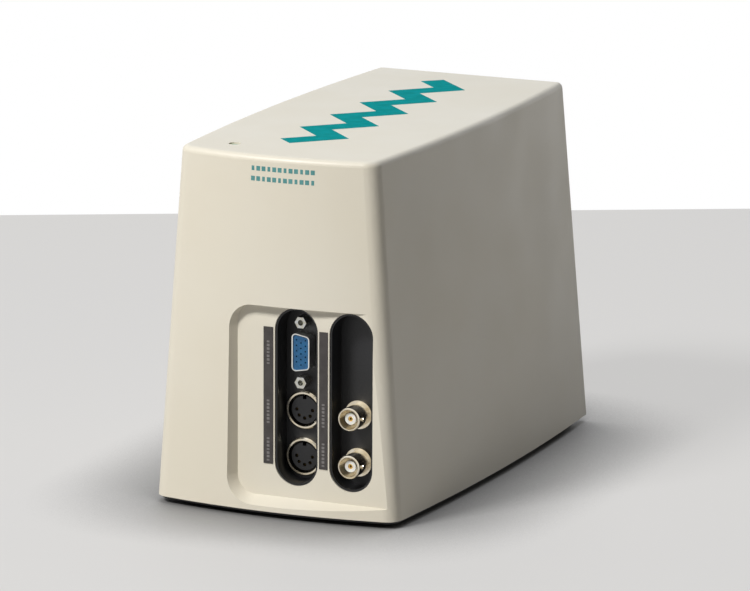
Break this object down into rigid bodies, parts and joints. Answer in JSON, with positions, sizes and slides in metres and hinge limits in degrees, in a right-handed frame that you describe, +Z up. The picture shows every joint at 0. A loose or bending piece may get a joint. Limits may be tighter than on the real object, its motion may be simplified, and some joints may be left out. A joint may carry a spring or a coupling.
{
  "type": "potentiostat",
  "caption": "Compact bench potentiostat: tapered moulded cover on a steel chassis, connector wells in front, mains inlet, fuse drawer and rocker switch behind.",
  "frame": {"origin": "middle of the footprint, on the surface that the feet stand on", "axes": "+Z up, -Y is the front with the connector wells, +Y is the rear panel, +X is the right seen from the front"},
  "size_m": [0.1162, 0.21, 0.15],
  "materials": {
    "cover_moulding": "moulded warm-beige casing, fine satin texture",
    "black_moulding": "black moulded plastic",
    "legend_film": "dark grey printed film",
    "black_sheet": "black powder-coated steel sheet",
    "foot_rubber": "black rubber",
    "zinc_screw": "bright zinc plated steel",
    "tin_plate": "tin plated pressed steel",
    "nickel_plate": "nickel plated brass",
    "contact_gold": "gold plated contact",
    "blue_moulding": "blue moulded thermoplastic",
    "white_moulding": "white moulded plastic",
    "circuit_board": "green solder-masked glass laminate",
    "capacitor_sleeve": "blue shrink sleeve",
    "relay_moulding": "pale moulded relay case",
    "winding_tape": "yellow polyester winding tape",
    "extruded_aluminium": "plain extruded aluminium",
    "led_lens": "diffused green light lens",
    "fuse_tube": "clear glass tube",
    "rocker_moulding": "glossy black rocker"
  },
  "bodies": {
    "case": {"cover": "cover_moulding", "well_liner": "black_moulding", "legend_strip_left": "legend_film", "legend_strip_middle": "legend_film", "chassis": "black_sheet", "rubber_feet": "foot_rubber", "cover_screws": "zinc_screw", "connector_panel": "black_sheet", "panel_screws": "zinc_screw", "control_socket_shell": "tin_plate", "control_socket_insulator": "blue_moulding", "control_socket_contacts": "contact_gold", "jackscrews": "zinc_screw", "front_board": "circuit_board", "bnc_nuts": "nickel_plate", "status_led": "led_lens", "led_clip": "black_moulding", "main_board": "circuit_board", "standoffs": "nickel_plate", "board_screws": "zinc_screw", "reservoir_capacitors": "capacitor_sleeve", "range_relays": "relay_moulding", "converter_chips": "black_moulding", "screening_can": "tin_plate", "board_header": "black_moulding", "heat_sink": "extruded_aluminium", "output_transistors": "black_moulding", "ring_transformer": "winding_tape", "transformer_pads": "foot_rubber", "transformer_dish": "zinc_screw", "transformer_bolt": "zinc_screw", "transformer_nut": "zinc_screw", "inlet_body": "black_moulding", "inlet_blades": "nickel_plate", "inlet_screws": "zinc_screw", "inlet_nuts": "zinc_screw", "switch_frame": "black_moulding", "switch_terminals": "nickel_plate", "usb_shell": "tin_plate", "usb_insert": "white_moulding", "earth_tube": "nickel_plate", "earth_sleeve": "black_moulding", "earth_nut": "black_moulding", "cell_socket_shell_upper": "nickel_plate", "cell_socket_insert_upper": "black_moulding", "cell_socket_contacts_upper": "contact_gold", "cell_socket_shell_lower": "nickel_plate", "cell_socket_insert_lower": "black_moulding", "cell_socket_contacts_lower": "contact_gold", "bnc_body_upper": "nickel_plate", "bnc_dielectric_upper": "white_moulding", "bnc_contact_upper": "contact_gold", "bnc_body_lower": "nickel_plate", "bnc_dielectric_lower": "white_moulding", "bnc_contact_lower": "contact_gold"},
    "drawer": {"fuse_drawer": "black_moulding", "fuse_glass": "fuse_tube", "fuse_caps": "nickel_plate"},
    "rocker": {"power_rocker": "rocker_moulding"}
  },
  "joints": [
    {"name": "fuse_drawer_slide", "type": "slide", "parent": "case", "child": "drawer", "axis": [0, 1, 0], "range_m": [0, 0.018]},
    {"name": "power_switch", "type": "hinge", "parent": "case", "child": "rocker", "pos_m": [-0.026, 0.0949, 0.034], "axis": [1, 0, 0], "range_deg": [-16, 0]}
  ]
}
